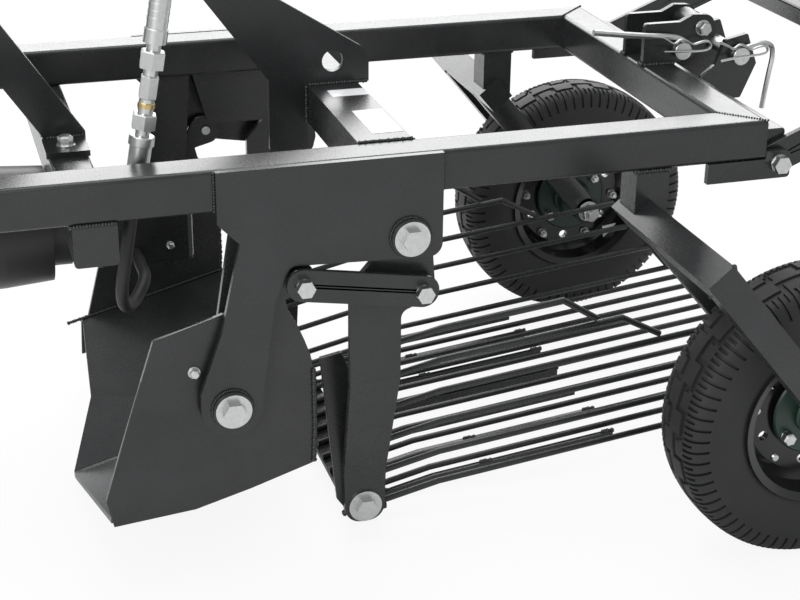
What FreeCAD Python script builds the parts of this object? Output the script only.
import FreeCAD, Part

import math
import os

from FreeCAD import Placement, Rotation, Vector

# A tractor-mounted potato digger. X points to the rear, Y to the machine's right, Z up.
# The origin is on the floor under the middle of the whole machine. Lengths are in mm.

SIZES = [
    # name, value, meaning
    ("frame_width", 710, "over the outer faces of the two side beams"),
    ("tube", 60, "side of the square frame tube"),
    ("tube_round", 6, "outer corner radius of the square tubes"),
    ("beam_top", 645, "top of the frame above the floor"),
    ("frame_rear", 500, "rear end of the frame"),
    ("frame_front", -760, "front end of the side beams"),
    ("mid_tube_x", -68, "centre of the middle cross tube"),
    ("mid_tube_width", 80, "width of the flat middle cross tube"),
    ("front_tube_x", -485, "centre of the front cross tube under the beams"),
    ("plate", 10, "thickness of the side plates and lugs"),
    ("side_plate_front", -324, "front edge of the side plates"),
    ("side_plate_rear", -4, "rear edge of the side plates"),
    ("side_plate_drop", 153, "side plate below the top of the frame"),
    ("share_pivot_x", -312, "share pivot"),
    ("share_pivot_z", 293, "share pivot above the floor"),
    ("leg_front", -294, "front edge of the leg at its top"),
    ("leg_rear", -224, "rear edge of the leg at its top"),
    ("leg_end", 44, "radius of the leg's rounded end"),
    ("leg_gap", 27, "clear gap between the outer and the inner leg plate"),
    ("hanger_pivot_x", -52, "hanger pivot"),
    ("hanger_pivot_z", 526, "hanger pivot above the floor"),
    ("link_front_x", -208, "link bolt on the share's ear"),
    ("link_front_z", 473, "link bolt on the share's ear, above the floor"),
    ("link_rear_x", -35, "link bolt on the hanger"),
    ("link_rear_z", 444, "link bolt on the hanger, above the floor"),
    ("link_half", 24, "half the width of the link"),
    ("link_thick", 8, "thickness of the link"),
    ("pin_r", 10, "radius of the pivot pins"),
    ("pin_clear", 0.05, "radial running clearance on the pivot pins"),
    ("washer_r", 26, "radius of the pivot washers"),
    ("washer", 4, "thickness of the pivot washers"),
    ("bolt_head", 12, "height of the pivot bolt heads"),
    ("bolt_flat", 30, "width across flats of the pivot bolt heads"),
    ("side_gap", 7, "gap between plates that move past each other"),
    ("share_plate", 8, "thickness of the share's side plates"),
    ("blade", 10, "thickness of the share blade"),
    ("blade_front", -508, "point of the blade"),
    ("blade_rear", -180, "rear edge of the blade"),
    ("blade_tip_z", 9, "underside of the blade's point above the floor"),
    ("blade_side_rise", 103, "rise of the blade from its middle to its sides"),
    ("blade_slope", 0.26, "rise of the blade per length to the rear"),
    ("hanger_width", 76, "width of the hanger's flat bar"),
    ("hanger_thick", 12, "thickness of the hanger's flat bar"),
    ("hanger_bend_z", 295, "height of the hanger's bend"),
    ("hanger_foot_x", -97, "bolt at the hanger's foot"),
    ("hanger_foot_z", 58, "bolt at the hanger's foot, above the floor"),
    ("foot_end", 28, "hanger below its foot bolt"),
    ("foot_half", 31, "half the hanger's width at its foot"),
    ("boss_r", 28.5, "radius of the welded boss behind a pivot washer"),
    ("boss", 8, "height of that boss"),
    ("bar_front", -56, "front end of the flat bars under the sieve"),
    ("bar_rear", 338, "rear end of the flat bars under the sieve"),
    ("bar_height", 13, "height of the flat bars under the sieve"),
    ("bar_count", 7, "flat bars under the sieve"),
    ("bar_pitch", 80, "spacing of the flat bars"),
    ("sieve_half", 270, "middle of the sieve to its outermost rods"),
    ("rod_r", 5, "radius of the sieve rods"),
    ("rod_count", 13, "rods in the sieve's floor"),
    ("rod_front", -112, "front end of the floor rods"),
    ("rod_rear", 783, "rear end of the floor rods"),
    ("rod_floor_z", 89, "centre of the floor rods where x is 230"),
    ("rod_slope", 0.11, "rise of the rods per length to the rear"),
    ("wall_pitch", 53, "height between the rods of the sieve's side walls"),
    ("wheel_x", 548, "wheel axle"),
    ("wheel_y", 479, "middle of the tyre"),
    ("tyre_r", 230, "outer radius of the tyre"),
    ("tyre_width", 120, "width of the tyre"),
    ("rim_r", "=tyre_r - 103", "radius of the rim under the tyre's bead"),
    ("axle_r", 12.5, "radius of the wheel axle"),
    ("arm_tube", 45, "side of the wheel carrier's square tube"),
    ("stub_front", 295, "front face of the wheel carrier's stub"),
    ("stub", 52, "side of the wheel carrier's stub"),
    ("arm_y", 590, "middle of the outer wheel arm"),
    ("arm_slope", 50, "angle of the wheel arms below the horizontal"),
    ("mast_top_z", 1090, "top of the headstock mast"),
    ("top_pin_z", 1050, "upper hitch pin above the floor"),
    ("lower_pin_z", 530, "lower hitch pins above the floor"),
    ("hitch_x", -800, "hitch pins"),
    ("hitch_half", "=frame_width / 2 - 13.5", "middle of the machine to the lower pin's shoulder"),
    ("lower_pin_r", 11, "radius of the lower hitch pins"),
    ("lower_pin_length", 50, "free length of the lower hitch pins"),
    ("lower_shank_r", 10, "radius of the lower pins inside their lugs"),
    ("top_hole_r", 9.75, "radius of the holes for the upper hitch pin"),
    ("rear_hinge_x", 523, "hinge of the rear frame"),
    ("rear_hinge_z", 578, "hinge of the rear frame above the floor"),
    ("rear_bar", 50, "height of the rear frame's arms"),
    ("rear_arm_angle", 22, "rise of the rear frame at rest"),
    ("gearbox_length", 150, "gearbox along the machine"),
    ("gearbox_width", 130, "gearbox across the machine"),
    ("gearbox_height", 120, "gearbox height"),
    ("shaft_z", 458, "centre of the drive shaft above the floor"),
    ("spline_r", 17.5, "radius of the drive shaft's splines"),
    ("guard_r", 96, "radius of the shaft guard at its mouth"),
    ("guard_neck", 66, "radius of the shaft guard under the front cross tube"),
]

doc = FreeCAD.newDocument("PotatoDigger")
sheet = doc.addObject("Spreadsheet::Sheet", "Sizes")
for row, (name, value, meaning) in enumerate(SIZES, start=1):
    sheet.set(f"A{row}", meaning)
    sheet.set(f"B{row}", str(value))
    sheet.setAlias(f"B{row}", name)
doc.recompute()


class Values:
    """Reads a size from the sheet by its name."""

    def __getattr__(self, name):
        return float(sheet.get(name))


s = Values()
NAMES = sorted((row[0] for row in SIZES), key=len, reverse=True)
parts = []


def bound(text):
    """An expression on the sheet's sizes, from their plain names."""
    words = []
    word = ""
    for sign in text + " ":
        if sign.isalnum() or sign == "_" or (sign == "." and word[:1].isdigit()):
            word += sign
            continue
        words.append("Sizes." + word if word in NAMES else word)
        words.append(sign)
        word = ""
    return "".join(words).strip()


def bind(thing, **expressions):
    for key, text in expressions.items():
        thing.setExpression(key, bound(str(text)))


def put(thing, x, y, z):
    thing.setExpression("Placement.Base.x", bound(str(x)))
    thing.setExpression("Placement.Base.y", bound(str(y)))
    thing.setExpression("Placement.Base.z", bound(str(z)))


def block(label, length, width, height, x, y, z):
    """A box from its lowest corner, with every size an expression."""
    thing = doc.addObject("Part::Box", label)
    thing.Label = label
    bind(thing, Length=length, Width=width, Height=height)
    put(thing, x, y, z)
    return thing


def rod_y(label, radius, length, x, y, z):
    """A cylinder along Y that starts at x, y, z."""
    thing = doc.addObject("Part::Cylinder", label)
    thing.Label = label
    thing.Placement = Placement(Vector(0, 0, 0), Rotation(Vector(1, 0, 0), -90))
    bind(thing, Radius=radius, Height=length)
    put(thing, x, y, z)
    return thing


def sub_part(thing):
    """Keeps a finished sub-part for the checks and the files."""
    parts.append(thing)
    return thing


def feature(label, shape):
    """A sub-part whose shape is worked out below."""
    thing = doc.addObject("Part::Feature", label)
    thing.Label = label
    thing.Shape = shape
    return sub_part(thing)


def group(label, shapes):
    return feature(label, Part.makeCompound(shapes))


def cord(points, radius, bend):
    """A round hose through points, with arcs of one bend radius at its corners."""
    edges = []
    last = points[0]
    for before, here, after in zip(points, points[1:], points[2:]):
        back = (before - here).normalize()
        ahead = (after - here).normalize()
        half_angle = back.getAngle(ahead) / 2
        reach = bend / math.tan(half_angle)
        middle = here + (back + ahead).normalize() * (bend / math.sin(half_angle) - bend)
        edges.append(Part.LineSegment(last, here + back * reach).toShape())
        edges.append(Part.Arc(here + back * reach, middle, here + ahead * reach).toShape())
        last = here + ahead * reach
    edges.append(Part.LineSegment(last, points[-1]).toShape())
    circle = Part.Circle(points[0], points[1] - points[0], radius)
    return Part.Wire(edges).makePipeShell([Part.Wire([circle.toShape()])], True, False)


def fused(shapes):
    return shapes[0].multiFuse(shapes[1:]).removeSplitter()


def rounded_wire(points):
    """A closed wire through points (vector, corner radius)."""
    edges = []
    ends = []
    count = len(points)
    for index, (here, radius) in enumerate(points):
        before = points[index - 1][0]
        after = points[(index + 1) % count][0]
        to_before = (before - here).normalize()
        to_after = (after - here).normalize()
        if radius <= 0:
            ends.append((here, here))
            continue
        half = to_before.getAngle(to_after) / 2
        reach = radius / math.tan(half)
        start = here + to_before * reach
        end = here + to_after * reach
        toward = (to_before + to_after).normalize()
        middle = here + toward * (radius / math.sin(half) - radius)
        edges.append((index, Part.Arc(start, middle, end).toShape()))
        ends.append((start, end))
    wire = []
    arcs = dict(edges)
    for index in range(count):
        if index in arcs:
            wire.append(arcs[index])
        start = ends[index][1]
        end = ends[(index + 1) % count][0]
        if (end - start).Length > 1e-6:
            wire.append(Part.LineSegment(start, end).toShape())
    return Part.Wire(Part.__sortEdges__(wire))


def plate_xz(points, y, thickness):
    """A plate upright along X, from (x, z, corner radius) rows, between y and y + thickness."""
    wire = rounded_wire([(Vector(x, y, z), r) for x, z, r in points])
    return Part.Face(wire).extrude(Vector(0, thickness, 0))


def plate_xy(points, z, thickness):
    wire = rounded_wire([(Vector(x, y, z), r) for x, y, r in points])
    return Part.Face(wire).extrude(Vector(0, 0, thickness))


def plate_yz(points, x, thickness):
    wire = rounded_wire([(Vector(x, y, z), r) for y, z, r in points])
    return Part.Face(wire).extrude(Vector(thickness, 0, 0))


def drum(radius, start, end):
    along = end - start
    return Part.makeCylinder(radius, along.Length, start, along)


def mirrored(shape):
    return shape.mirror(Vector(0, 0, 0), Vector(0, 1, 0))


def both_sides(label, shape):
    """One sub-part on the left, at negative Y, and its mirror image on the right."""
    left = feature("left_" + label, shape)
    right = feature("right_" + label, mirrored(shape))
    return left, right


def pair(label, *shapes):
    """One sub-part that holds small pieces of the left side and their mirror images."""
    return group(label, list(shapes) + [mirrored(shape) for shape in shapes])


def hexagon(flat, height, start, along):
    """A hexagonal bolt head."""
    radius = flat / math.sqrt(3)
    corners = [Vector(radius * math.cos(k * math.pi / 3), radius * math.sin(k * math.pi / 3), 0) for k in range(7)]
    head = Part.Face(Part.makePolygon(corners)).extrude(Vector(0, 0, height))
    head.Placement = Placement(start, Rotation(Vector(0, 0, 1), along))
    return head


def bar(start, end, width, height, corner=0):
    """A rectangular tube between two points in a plane of constant Y: width along Y."""
    along = (end - start).normalize()
    up = Vector(0, 1, 0).cross(along)
    y = Vector(0, 1, 0)
    rows = [(1, 1), (1, -1), (-1, -1), (-1, 1)]
    points = [(start + y * (width / 2 * a) + up * (height / 2 * b), corner) for a, b in rows]
    return Part.Face(rounded_wire(points)).extrude(end - start)


def long_rounds(shape, direction, radius):
    """Rounds the edges that run along a direction."""
    edges = []
    for edge in shape.Edges:
        first = edge.Vertexes[0].Point
        last = edge.Vertexes[-1].Point
        along = last - first
        if along.Length > 1 and abs(along.normalize().dot(direction)) > 0.9999:
            edges.append(edge)
    return shape.makeFillet(radius, edges)


X_AXIS = Vector(1, 0, 0)
Y_AXIS = Vector(0, 1, 0)
Z_AXIS = Vector(0, 0, 1)
half = s.frame_width / 2
inner = half - s.tube
beam_bottom = s.beam_top - s.tube


# Frame of welded square tube, mitred at its rear corners

beam = plate_xy([
    (s.frame_front, -half, 0),
    (s.frame_rear, -half, 0),
    (s.frame_rear - s.tube, -inner, 0),
    (s.frame_front, -inner, 0),
], beam_bottom, s.tube)
both_sides("beam", long_rounds(beam, X_AXIS, s.tube_round))

rear_tube = plate_xy([
    (s.frame_rear, -half, 0),
    (s.frame_rear, half, 0),
    (s.frame_rear - s.tube, inner, 0),
    (s.frame_rear - s.tube, -inner, 0),
], beam_bottom, s.tube)
feature("rear_cross_tube", long_rounds(rear_tube, Y_AXIS, s.tube_round))

sub_part(block("mid_cross_tube", "mid_tube_width", "frame_width - 2 * tube", "tube",
               "mid_tube_x - mid_tube_width / 2", "tube - frame_width / 2", "beam_top - tube"))
front_low = Part.makeBox(s.tube, s.frame_width, s.tube,
                         Vector(s.front_tube_x - s.tube / 2, -half, beam_bottom - s.tube))
feature("front_cross_tube", long_rounds(front_low, Y_AXIS, s.tube_round))


# Side plates with the legs that carry the share

pivot_hole_x = s.share_pivot_x
pivot_hole_z = s.share_pivot_z


def pin_hole(x, z):
    return drum(s.pin_r, Vector(x, -half * 2, z), Vector(x, half * 2, z))


def leg_points():
    """The leg's outline round the share pivot, in (x, z, radius) rows."""
    end = s.leg_end
    return [
        (s.share_pivot_x - 11, s.share_pivot_z + 117, 0),
        (s.share_pivot_x - end, s.share_pivot_z + 25, 0),
        (s.share_pivot_x - end, s.share_pivot_z - end, end - 1),
        (s.share_pivot_x + end, s.share_pivot_z - end, end - 1),
        (s.share_pivot_x + end, s.share_pivot_z + 8, 0),
        (s.leg_rear - 22, plate_bottom - 40, 0),
    ]


plate_bottom = s.beam_top - s.side_plate_drop
outline = [
    (s.side_plate_front, s.beam_top, 0),
    (s.side_plate_front, s.beam_top - 74, 0),
    (s.leg_front, plate_bottom + 48, 0),
] + leg_points() + [
    (s.leg_rear, plate_bottom + 8, 12),
    (s.side_plate_rear, plate_bottom - 1, 20),
    (s.side_plate_rear, s.beam_top, 0),
]
side_plate = plate_xz(outline, -half - s.plate, s.plate)
for x, z in [(s.share_pivot_x, s.share_pivot_z), (s.hanger_pivot_x, s.hanger_pivot_z)]:
    boss = drum(s.boss_r, Vector(x, -half - s.plate - s.boss, z), Vector(x, -half - s.plate, z))
    side_plate = side_plate.fuse(boss)
side_plate = side_plate.cut(pin_hole(s.share_pivot_x, s.share_pivot_z))
side_plate = side_plate.cut(pin_hole(s.hanger_pivot_x, s.hanger_pivot_z))
both_sides("side_plate", side_plate)

inner_leg_y = -half + s.leg_gap
inner_leg_rows = [(s.leg_front, beam_bottom, 0)] + leg_points() + [(s.leg_rear - 12, beam_bottom, 0)]
inner_leg = plate_xz(inner_leg_rows, inner_leg_y, s.plate)
inner_leg = inner_leg.cut(pin_hole(s.share_pivot_x, s.share_pivot_z))

rear_inner = plate_xz([
    (s.leg_rear - 8, beam_bottom, 0),
    (s.leg_rear + 18, plate_bottom - 2, 20),
    (s.side_plate_rear, plate_bottom - 2, 20),
    (s.side_plate_rear, beam_bottom, 0),
], inner_leg_y, s.plate)
rear_inner = rear_inner.cut(pin_hole(s.hanger_pivot_x, s.hanger_pivot_z))
pair("inner_brackets", inner_leg, rear_inner)


# Share unit: two side plates and a blade that dips in the middle

link_hole = 8
share_y = -half + (s.leg_gap - s.share_plate) / 2
share_rows = [
    (s.link_front_x - 40, s.link_front_z - 20, 0),
    (s.link_front_x - 22, s.link_front_z + 22, 20),
    (s.link_front_x + 22, s.link_front_z + 22, 20),
    (s.link_front_x + 22, s.link_front_z - 20, 18),
    (-228, 442, 0),
    (-224, 425, 0),
    (-212, 403, 0),
    (-202, 378, 0),
    (-193, 353, 0),
    (-189, 332, 0),
    (-191, 176, 0),
    (-284, 147, 0),
    (-367, 125, 0),
]
LEFT_FRONT = [(-486, 115, 0), (-495, 158, 0), (-471, 234, 0), (-436, 341, 0), (-416, 401, 0), (-331, 426, 0)]
RIGHT_FRONT = [(-441, 70, 0), (-450, 68, 0), (-447, 134, 0), (-436, 135, 0), (-367, 401, 0), (-331, 426, 0)]


def share_side(front_rows, y):
    """A share side plate with its front edge, and the holes for its pivot and its link bolt."""
    side = plate_xz(share_rows + front_rows, y, s.share_plate)
    side = side.cut(pin_hole(s.share_pivot_x, s.share_pivot_z))
    return side.cut(drum(link_hole, Vector(s.link_front_x, -half * 2, s.link_front_z),
                         Vector(s.link_front_x, half * 2, s.link_front_z)))


feature("left_share_side", share_side(LEFT_FRONT, share_y))
feature("right_share_side", share_side(RIGHT_FRONT, -share_y - s.share_plate))

blade_half = -share_y - s.share_plate
low = s.blade_tip_z
high = low + s.blade_side_rise
blade_length = s.blade_rear - s.blade_front
section = Part.makePolygon([
    Vector(s.blade_front, -blade_half, high),
    Vector(s.blade_front, 0, low),
    Vector(s.blade_front, blade_half, high),
    Vector(s.blade_front, blade_half, high + s.blade),
    Vector(s.blade_front, 0, low + s.blade),
    Vector(s.blade_front, -blade_half, high + s.blade),
    Vector(s.blade_front, -blade_half, high),
])
share_blade = Part.Face(section).extrude(Vector(blade_length, 0, blade_length * s.blade_slope))
corner_cut = plate_xy([
    (s.blade_front - 1, 0, 0),
    (s.blade_front - 1, -half, 0),
    (s.blade_front + 20, -half, 0),
], 0, 400)
far_cut = plate_xy([
    (s.blade_front - 1, 0, 0),
    (-458, 150, 0),
    (-445, blade_half, 0),
    (-445, half, 0),
    (s.blade_front - 1, half, 0),
], 0, 400)
share_blade = share_blade.cut(corner_cut).cut(far_cut)
feature("share_blade", share_blade)


# Hangers with the sieve between their feet

hanger_y = -half + 6
foot_y = -s.sieve_half - s.rod_r - s.share_plate - s.hanger_thick
arm_left = s.hanger_foot_x - s.hanger_width / 2
arm_right = s.hanger_foot_x + s.hanger_width / 2
upper_rows = [
    (s.hanger_pivot_x - 34, s.hanger_pivot_z - 20, 0),
    (s.hanger_pivot_x - 34, s.hanger_pivot_z + 34, 33),
    (s.hanger_pivot_x + 34, s.hanger_pivot_z + 34, 33),
    (s.link_rear_x + 26, s.link_rear_z, 0),
    (s.link_rear_x + 20, s.link_rear_z - 24, 15),
    (arm_right, s.link_rear_z - 40, 15),
    (arm_right, s.hanger_bend_z, 0),
    (arm_left, s.hanger_bend_z, 0),
    (arm_left, s.link_rear_z + 6, 10),
]
hanger = plate_xz(upper_rows, hanger_y, s.hanger_thick)
hanger = hanger.cut(pin_hole(s.hanger_pivot_x, s.hanger_pivot_z))
hanger = hanger.cut(drum(8, Vector(s.link_rear_x, -half * 2, s.link_rear_z),
                         Vector(s.link_rear_x, half * 2, s.link_rear_z)))
lower_end_z = s.hanger_foot_z + 60
slant = plate_yz([
    (hanger_y, s.hanger_bend_z, 0),
    (hanger_y + s.hanger_thick, s.hanger_bend_z, 0),
    (foot_y + s.hanger_thick, lower_end_z, 0),
    (foot_y + s.hanger_thick, s.hanger_foot_z - s.foot_end, 0),
    (foot_y, s.hanger_foot_z - s.foot_end, 0),
    (foot_y, lower_end_z, 0),
], arm_left, s.hanger_width)
foot_round = plate_xz([
    (arm_left, s.hanger_bend_z + 20, 0),
    (arm_right, s.hanger_bend_z + 20, 0),
    (s.hanger_foot_x + s.foot_half, s.hanger_foot_z - s.foot_end, 26),
    (s.hanger_foot_x - s.foot_half, s.hanger_foot_z - s.foot_end, 26),
], -half, half)
hanger = fused([hanger, slant.common(foot_round)])
hanger = hanger.cut(pin_hole(s.hanger_foot_x, s.hanger_foot_z))
both_sides("hanger", hanger)


def rod_z(x):
    """Height of the sieve's floor rods at x."""
    return s.rod_floor_z + s.rod_slope * (x - 230)


def front_z(x):
    """Height of the rods' steeper front part at x."""
    return rod_z(30) - 0.22 * (30 - x)


def rod_line(points, radius):
    """A round rod through points, mitred at its bends."""
    wire = Part.makePolygon(points)
    start = points[0]
    circle = Part.Circle(start, points[1] - start, radius)
    profile = Part.Wire([circle.toShape()])
    return wire.makePipeShell([profile], True, False, 1)


pitch = 2 * s.sieve_half / (s.rod_count - 1)
floor_rods = []
for index in range(int(s.rod_count)):
    y = -s.sieve_half + index * pitch
    points = [
        Vector(s.rod_front, y, front_z(s.rod_front)),
        Vector(30, y, rod_z(30)),
        Vector(s.rod_rear - 96, y, rod_z(s.rod_rear - 96)),
        Vector(s.rod_rear - 48, y, rod_z(s.rod_rear - 96) - 39),
        Vector(s.rod_rear, y, rod_z(s.rod_rear - 96) - 99),
    ]
    floor_rods.append(rod_line(points, s.rod_r))
group("sieve_rods", floor_rods)

# Side walls: each rod is bent down to the next one at its rear end
wall_rods = []
WALL = [
    # level above the floor rods, bend, end, levels that the bent end falls
    (5, 226, 284, 1),
    (4, 328, 394, 1),
    (3, 550, 672, 3),
    (2, 583, 0, 0),
    (1, 634, 0, 0),
]
for level, bend, end, fall in WALL:
    lift = level * s.wall_pitch
    points = [Vector(s.rod_front, -s.sieve_half, front_z(s.rod_front) + lift),
              Vector(30, -s.sieve_half, rod_z(30) + lift),
              Vector(bend, -s.sieve_half, rod_z(bend) + lift)]
    if end:
        rod_below = rod_z(end) + (level - fall) * s.wall_pitch
        slant = math.hypot(end - bend, rod_z(bend) + lift - rod_below - 1.7 * s.rod_r)
        seat = rod_below + s.rod_r * (1 + (end - bend) / slant) + 0.3
        points.append(Vector(end, -s.sieve_half, seat))
    wall_rods.append(rod_line(points, s.rod_r))
pair("sieve_walls", *wall_rods)

# Flat bars on edge under the floor rods
bars = []
under = s.rod_r + 0.3
for index in range(int(s.bar_count)):
    y = (index - (s.bar_count - 1) / 2) * s.bar_pitch
    rows = [
        (s.bar_front, front_z(s.bar_front) - under, 0),
        (30, rod_z(30) - under, 0),
        (s.bar_rear, rod_z(s.bar_rear) - under, 0),
        (s.bar_rear, rod_z(s.bar_rear) - under - s.bar_height, 0),
        (30, rod_z(30) - under - s.bar_height, 0),
        (s.bar_front, front_z(s.bar_front) - under - s.bar_height, 0),
    ]
    bars.append(plate_xz(rows, y - 4, 8))
group("sieve_bars", bars)

bracket_y = -s.sieve_half - s.rod_r - s.share_plate
bracket = plate_xz([
    (-163, 312, 0),
    (-130, 318, 0),
    (s.hanger_foot_x + 36, s.hanger_foot_z + 90, 0),
    (s.hanger_foot_x + 30, s.hanger_foot_z - 24, 22),
    (s.hanger_foot_x - 18, s.hanger_foot_z - 24, 10),
    (s.hanger_foot_x - 41, s.hanger_foot_z + 10, 0),
], bracket_y, s.share_plate)
bracket = bracket.cut(pin_hole(s.hanger_foot_x, s.hanger_foot_z))
pair("sieve_brackets", bracket)
front_bar = plate_xz([
    (s.rod_front, front_z(s.rod_front) - under, 0),
    (s.bar_front, front_z(s.bar_front) - under, 0),
    (s.bar_front, front_z(s.bar_front) - under - 8, 0),
    (s.rod_front, front_z(s.rod_front) - under - 8, 0),
], bracket_y + s.share_plate, -2 * (bracket_y + s.share_plate))
feature("sieve_front_bar", front_bar)


# Link between the share's ear and the hanger

link_y = -half - s.plate - 3 - s.link_thick
direction = Vector(s.link_rear_x - s.link_front_x, 0, s.link_rear_z - s.link_front_z)
link_length = direction.Length
link = plate_xz([
    (-s.link_half, -s.link_half, s.link_half - 1),
    (link_length + s.link_half, -s.link_half, s.link_half - 1),
    (link_length + s.link_half, s.link_half, s.link_half - 1),
    (-s.link_half, s.link_half, s.link_half - 1),
], 0, s.link_thick)
link.Placement = Placement(Vector(s.link_front_x, link_y, s.link_front_z),
                           Rotation(X_AXIS, direction))
LINK_ENDS = [
    # x, z, face that the bush runs against, bush radius
    (s.link_front_x, s.link_front_z, share_y, s.link_half - 7),
    (s.link_rear_x, s.link_rear_z, hanger_y, s.link_half - 2),
]
for x, z, face, radius in LINK_ENDS:
    bush = drum(radius, Vector(x, link_y + s.link_thick, z), Vector(x, face - 0.3, z))
    link = link.fuse(bush)
    link = link.cut(drum(link_hole, Vector(x, -half * 2, z), Vector(x, 0, z)))
pair("links", link.removeSplitter())


# Pivot bolts with their washers

def pivot(x, z, y_outer, y_inner, radius=None, washer_radius=None, flat=None):
    """A bolt along Y with a washer and a head on its outer end."""
    radius = radius or s.pin_r
    washer_radius = washer_radius or s.washer_r
    flat = flat or s.bolt_flat
    shank = drum(radius - s.pin_clear, Vector(x, y_outer, z), Vector(x, y_inner, z))
    washer = drum(washer_radius, Vector(x, y_outer - s.washer, z), Vector(x, y_outer, z))
    head = hexagon(flat, s.bolt_head, Vector(x, y_outer - s.washer, z), Vector(0, -1, 0))
    return fused([shank, washer, head])


boss_y = -half - s.plate - s.boss
pair("share_pivots", pivot(s.share_pivot_x, s.share_pivot_z, boss_y, inner_leg_y + s.plate + 6))
pair("hanger_pivots", pivot(s.hanger_pivot_x, s.hanger_pivot_z, boss_y, inner_leg_y + s.plate + 6))
pair("foot_bolts", pivot(s.hanger_foot_x, s.hanger_foot_z, foot_y, bracket_y + s.share_plate + 20))
pair("front_link_bolts", pivot(s.link_front_x, s.link_front_z, link_y, share_y + s.share_plate + 4, 7.6, 12, 23))
pair("rear_link_bolts", pivot(s.link_rear_x, s.link_rear_z, link_y, hanger_y + s.hanger_thick + 4, 8, 12, 23))


# Wheel carriers: stub, cross piece and outer arm

slope = math.radians(s.arm_slope)
down = Vector(math.cos(slope), 0, -math.sin(slope))
axle_z = s.tyre_r
hub = Vector(s.wheel_x, 0, axle_z)
stub_middle = s.stub_front + s.stub / 2
elbow = Vector(stub_middle, 0, 507)
stub_shape = Part.makeBox(s.stub, s.stub, beam_bottom - elbow.z,
                          Vector(s.stub_front, -half + 2, elbow.z))
turn = Rotation(Y_AXIS, s.arm_slope)
cross_start = -half + 10 + s.stub
cross = Part.makeBox(s.arm_tube, s.arm_y + s.arm_tube / 2 + cross_start, s.arm_tube,
                     Vector(-s.arm_tube / 2, -s.arm_y - s.arm_tube / 2, -s.arm_tube / 2))
cross.Placement = Placement(Vector(elbow.x - 4, 0, elbow.z), turn)
arm_top = Vector(elbow.x - 4, -s.arm_y, elbow.z)
arm_end = Vector(s.wheel_x, -s.arm_y, axle_z)
arm = bar(arm_top - down * (s.arm_tube / 2), arm_end, s.arm_tube, s.arm_tube)
arm_eye = drum(s.arm_tube / 2 + 4, Vector(s.wheel_x, -s.arm_y - s.arm_tube / 2, axle_z),
               Vector(s.wheel_x, -s.arm_y + s.arm_tube / 2, axle_z))
carrier = fused([stub_shape, cross, arm, arm_eye])
both_sides("wheel_carrier", carrier)

axle = drum(s.axle_r, Vector(s.wheel_x, -s.arm_y + s.arm_tube / 2, axle_z),
            Vector(s.wheel_x, -s.wheel_y + 62, axle_z))
pair("axles", axle)


# Wheels

def revolved(rows, centre_y):
    """A body of revolution about the wheel axle from (offset along Y, radius) rows."""
    points = [Vector(s.wheel_x, centre_y + offset, axle_z + radius) for offset, radius in rows]
    face = Part.Face(Part.makePolygon(points + points[:1]))
    return face.revolve(Vector(s.wheel_x, 0, axle_z), Y_AXIS, 360)


w = s.tyre_width / 2
TYRE = [
    # offset from the tyre's middle, radius
    (-w + 16, s.rim_r), (-w + 6, s.rim_r + 18), (-w, s.rim_r + 45), (-w + 3, s.tyre_r - 26),
    (-w + 18, s.tyre_r - 6), (-w / 3, s.tyre_r), (w / 3, s.tyre_r), (w - 18, s.tyre_r - 6),
    (w - 3, s.tyre_r - 26), (w, s.rim_r + 45), (w - 6, s.rim_r + 18), (w - 16, s.rim_r),
]
tyre = revolved(TYRE, -s.wheel_y)
both_sides("tyre", tyre)
RIM = [
    (-w + 14, s.rim_r - 0.3), (-w + 10, s.rim_r + 8), (-w + 5, s.rim_r + 6), (-w + 10, s.rim_r - 6),
    (-20, s.rim_r - 12), (-6, s.rim_r - 24), (-6, 60), (-14, 50), (-14, 34.2),
    (14, 34.2), (14, 50), (6, 60), (6, s.rim_r - 24), (20, s.rim_r - 12),
    (w - 10, s.rim_r - 6), (w - 5, s.rim_r + 6), (w - 10, s.rim_r + 8), (w - 14, s.rim_r - 0.3),
]
rim = revolved(RIM, -s.wheel_y)
for index in range(6):
    turn = math.radians(60 * index + 25)
    x = s.wheel_x + 86 * math.cos(turn)
    z = axle_z + 86 * math.sin(turn)
    rim = rim.cut(drum(8, Vector(x, -s.wheel_y - 30, z), Vector(x, -s.wheel_y + 30, z)))
both_sides("rim", rim)
HUB = [(-45, s.axle_r + s.pin_clear), (-45, 30), (-30, 34), (30, 34), (45, 30), (45, s.axle_r + s.pin_clear)]
both_sides("hub", revolved(HUB, -s.wheel_y))


# Headstock: mast plates, braces and hitch pins

mast_half = 32
mast_rows = [
    (s.hitch_x - 32, s.top_pin_z + 36, 30),
    (s.hitch_x + 40, s.top_pin_z + 36, 30),
    (s.frame_front + 110, s.shaft_z + s.guard_r + 12, 0),
    (s.hitch_x - 20, s.shaft_z + s.guard_r + 12, 0),
]
mast_plate = plate_xz(mast_rows, -mast_half - s.plate, s.plate)
mast_plate = mast_plate.cut(drum(s.top_hole_r, Vector(s.hitch_x, -100, s.top_pin_z),
                                 Vector(s.hitch_x, 100, s.top_pin_z)))
pair("headstock_mast", mast_plate)
head_a = Part.makeBox(s.tube, inner - mast_half - s.plate, s.tube, Vector(s.frame_front, -inner, beam_bottom))
pair("headstock_tubes", head_a)
lug_rows = [
    (s.hitch_x - 30, s.lower_pin_z - 30, 28),
    (s.frame_front + 60, s.lower_pin_z - 30, 10),
    (s.frame_front + 120, beam_bottom, 0),
    (s.hitch_x - 30, beam_bottom, 10),
]
lug = plate_xz(lug_rows, -s.hitch_half, s.plate)
lug = lug.cut(drum(s.lower_shank_r, Vector(s.hitch_x, -s.hitch_half - 60, s.lower_pin_z),
                   Vector(s.hitch_x, -200, s.lower_pin_z)))
pair("lower_lugs", lug)
lower_pin = drum(s.lower_pin_r, Vector(s.hitch_x, -s.hitch_half - s.lower_pin_length, s.lower_pin_z),
                 Vector(s.hitch_x, -s.hitch_half, s.lower_pin_z))
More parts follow.
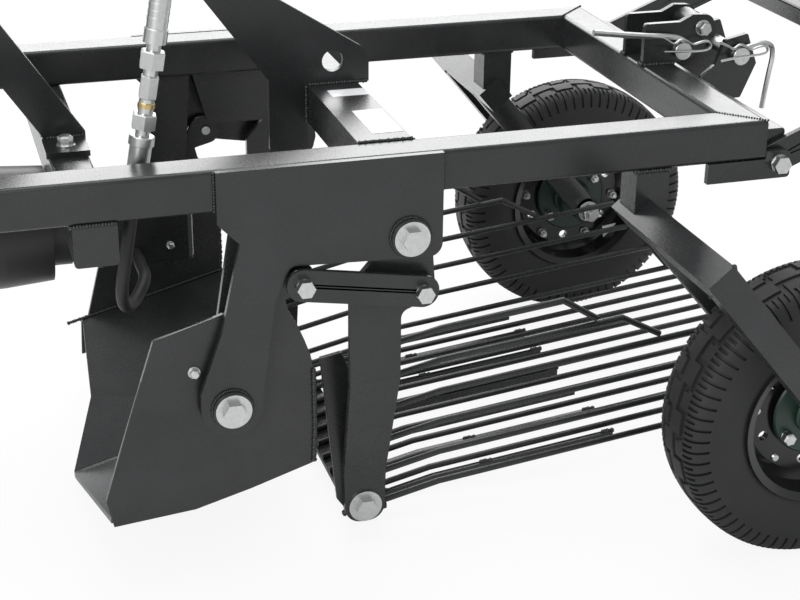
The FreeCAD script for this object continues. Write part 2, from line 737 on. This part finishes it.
shank = drum(s.lower_shank_r, Vector(s.hitch_x, -s.hitch_half, s.lower_pin_z),
             Vector(s.hitch_x, -s.hitch_half + s.plate + 22, s.lower_pin_z))
pin_nut = hexagon(30, 14, Vector(s.hitch_x, -s.hitch_half + s.plate, s.lower_pin_z), Y_AXIS)
pair("lower_pins", fused([lower_pin, shank, pin_nut]))

# The big brace plate rises from the middle cross tube to the mast
tube_face = s.mid_tube_x - s.mid_tube_width / 2
brace_rows = [
    (tube_face, s.beam_top, 0),
    (-9, s.beam_top, 0),
    (-9, 685, 12),
    (-22, 702, 10),
    (-147, 780, 0),
    (-720, 1075, 20),
    (-790, 1060, 0),
    (-740, 990, 0),
    (-265, 788, 0),
    (-169, 657, 0),
    (-169, 540, 8),
    (tube_face, 540, 8),
]
brace = plate_xz(brace_rows, -s.plate / 2, s.plate)
brace = brace.cut(drum(17, Vector(-67, -20, 681), Vector(-67, 20, 681)))
feature("mast_brace", brace)

# A second strap runs from the mast down to a foot on the front cross tube
strap = plate_xz([
    (-512, beam_bottom, 0),
    (-452, beam_bottom, 0),
    (-452, 601, 0),
    (-680, 950, 0),
    (-735, 974, 0),
    (-772, 974, 12),
    (-772, 925, 12),
    (-730, 925, 0),
    (-512, 591, 0),
], -s.plate / 2, s.plate)
strap_foot = Part.makeBox(64, 76, 9, Vector(-518, -s.plate / 2 - 70, beam_bottom))
spacer = drum(12, Vector(-752, -mast_half, 950), Vector(-752, mast_half, 950))
feature("mast_strap", fused([strap, strap_foot, spacer]))

# Hydraulic hose with its union, from the mast to the gearbox
HOSE_UNION = [
    # height above the union's lower end, radius or width across flats, hexagonal
    (0, 17, False), (45, 19, False), (73, 12, False), (87, 36, True), (122, 13, False), (152, 27, True),
    (205, 12, False), (229, 36, True), (271, 12, False), (292, 17.5, False), (322, 16, False), (420, 0, False),
]
hose_y = 29 - inner
union_low = Vector(-441, hose_y, 470)
union_along = Vector(71, 0, 387).normalize()
fittings = []
for (start, size, flat), (end, _, _) in zip(HOSE_UNION, HOSE_UNION[1:]):
    base = union_low + union_along * start
    if flat:
        fittings.append(hexagon(size, end - start, base, union_along))
    else:
        fittings.append(drum(size, base, union_low + union_along * end))
feature("hose_fittings", fused(fittings))
union_high = union_low + union_along * 420
hose_r = 9
hose_bend = 60
gearbox_side = Vector(-395, -s.gearbox_width / 2, s.shaft_z - 38)
lower_hose = cord([union_low, union_low - union_along * 110, gearbox_side - Y_AXIS * 100, gearbox_side],
                  hose_r, hose_bend)
mast_side = Vector(s.hitch_x + 25, -mast_half - s.plate, s.top_pin_z - 65)
upper_hose = cord([union_high, union_high + union_along * 120, mast_side - Y_AXIS * 108, mast_side],
                  hose_r, hose_bend)
group("hose", [lower_hose, upper_hose])

# Gearbox and its drive shaft
gearbox_front = s.front_tube_x + s.tube / 2
sub_part(block("gearbox", "gearbox_length", "gearbox_width", "gearbox_height",
               "front_tube_x + tube / 2", "0 - gearbox_width / 2", "shaft_z - gearbox_height / 2"))
shaft = drum(s.spline_r, Vector(gearbox_front, 0, s.shaft_z), Vector(-700, 0, s.shaft_z))
feature("drive_shaft", shaft)
guard_rows = [
    # x, radius
    (-700, s.guard_r), (-590, s.guard_r - 3), (-518, s.guard_r - 8), (-518, s.guard_neck),
    (-488, s.guard_neck), (-488, 46), (gearbox_front - 0.3, 46), (gearbox_front - 0.3, 30),
    (gearbox_front - 6, 30), (gearbox_front - 6, 42), (-492, 42), (-492, s.guard_neck - 4),
    (-522, s.guard_neck - 4), (-522, s.guard_r - 12), (-592, s.guard_r - 7), (-700, s.guard_r - 4),
]
guard_points = [Vector(x, 0, s.shaft_z + r) for x, r in guard_rows]
guard = Part.Face(Part.makePolygon(guard_points + guard_points[:1])).revolve(Vector(0, 0, s.shaft_z), X_AXIS, 360)
feature("shaft_guard", guard)


# Rear frame hinged under the ends of the beams

hinge_y = -half + 24
hinge_bar = plate_xz([
    (s.rear_hinge_x - 115, beam_bottom, 0),
    (s.frame_rear + 1, beam_bottom, 0),
    (s.frame_rear + 1, beam_bottom + 12, 0),
    (s.rear_hinge_x + 20, beam_bottom + 12, 12),
    (s.rear_hinge_x + 20, beam_bottom - 31, 6),
    (s.rear_hinge_x - 115, beam_bottom - 31, 0),
], -half, s.plate)
hinge_hole = drum(s.pin_r, Vector(s.rear_hinge_x, -half * 2, s.rear_hinge_z),
                  Vector(s.rear_hinge_x, half * 2, s.rear_hinge_z))
pair("rear_hinge_plates", hinge_bar.cut(hinge_hole))
rise = math.radians(s.rear_arm_angle)
arm_run = Vector(math.cos(rise), 0, math.sin(rise))
rear_y = -half + s.plate + 4
rear_start = Vector(s.rear_hinge_x, rear_y + 5, s.rear_hinge_z)
# The rear frame ends as far behind the middle of the machine as the mast ends before it
rear_arm = (-mast_plate.BoundBox.XMin - s.rear_hinge_x - s.rear_bar / 2 * arm_run.z) / arm_run.x
rear_bar = bar(rear_start, rear_start + arm_run * rear_arm, 10, s.rear_bar)
rear_eye = drum(25, Vector(s.rear_hinge_x, rear_y, s.rear_hinge_z), Vector(s.rear_hinge_x, rear_y + 10, s.rear_hinge_z))
rear_bar = fused([rear_bar, rear_eye]).cut(hinge_hole)
pair("rear_arms", rear_bar)
rear_pin = pivot(s.rear_hinge_x, s.rear_hinge_z, -half, rear_y + 10, 10, 14, 24)
pair("rear_hinge_bolts", rear_pin)
cross_middle = rear_start + arm_run * (rear_arm - 30)
rear_cross = Part.makeBox(40, -2 * (rear_y + 10), 40, Vector(-20, rear_y + 10, -20))
rear_cross.Placement = Placement(Vector(cross_middle.x, 0, cross_middle.z), Rotation(Y_AXIS, -s.rear_arm_angle))
feature("rear_cross_bar", rear_cross)
lock_tube = Part.makeBox(40, -2 * (rear_y + 10), 40, Vector(s.frame_rear + 4, rear_y + 10, beam_bottom - 3))
feature("lock_tube", lock_tube)

# Pinned lock between the frame and the rear frame
LUG_OUT = 40
lock_rows = [
    (443, s.beam_top, 0),
    (s.frame_rear - 2, s.beam_top, 0),
    (527, 652, 6),
    (574, 690, 18),
    (560, 722, 18),
    (527, 724, 10),
    (505, 713, 0),
    (443, 713, 6),
]
tail_out = LUG_OUT + 14
PINS = [
    # x, z, outer face of its lugs
    (507, 668, LUG_OUT),
    (606, 656, tail_out),
]
lock_pin_r = 13


def lug_hole(x, z):
    return drum(lock_pin_r + s.pin_clear, Vector(x, -half, z), Vector(x, half, z))


locks = []
for y in (-LUG_OUT, LUG_OUT - s.plate):
    locks.append(plate_xz(lock_rows, y, s.plate).cut(lug_hole(*PINS[0][:2])))
roller = drum(19, Vector(545, -LUG_OUT + s.plate, 701), Vector(545, LUG_OUT - s.plate, 701))
feature("lock_bracket", fused(locks + [roller]))
tail_rows = [
    (s.frame_rear + 44, beam_bottom - 3, 0),
    (s.frame_rear + 44, beam_bottom + 37, 0),
    (566, 640, 0),
    (582, 682, 4),
    (621, 690, 4),
    (641, 639, 4),
    (617, 582, 4),
]
tail = []
for y in (-tail_out, tail_out - s.plate):
    tail.append(plate_xz(tail_rows, y, s.plate).cut(lug_hole(*PINS[1][:2])))
group("tail_lugs", tail)
for label, (x, z, out) in zip(["lock_pin", "tail_pin"], PINS):
    feature(label, drum(lock_pin_r, Vector(x, -out - 12, z), Vector(x, out + 12, z)))


# Checks, then the files

doc.recompute()
for thing in doc.Objects:
    if "Invalid" in thing.State or "Error" in thing.State:
        raise RuntimeError(f"{thing.Label} failed to recompute")
os.makedirs("parts", exist_ok=True)
for thing in parts:
    if thing.Shape.isNull() or not thing.Shape.isValid():
        raise RuntimeError(f"{thing.Label} has no valid shape")
    thing.Shape.exportStep(f"parts/{thing.Label}.step")
whole = Part.makeCompound([thing.Shape for thing in parts]).BoundBox
print(f"{len(parts)} sub-parts, x {whole.XMin:.1f} to {whole.XMax:.1f}, y {whole.YMin:.1f} to {whole.YMax:.1f}, "
      f"z {whole.ZMin:.1f} to {whole.ZMax:.1f}")
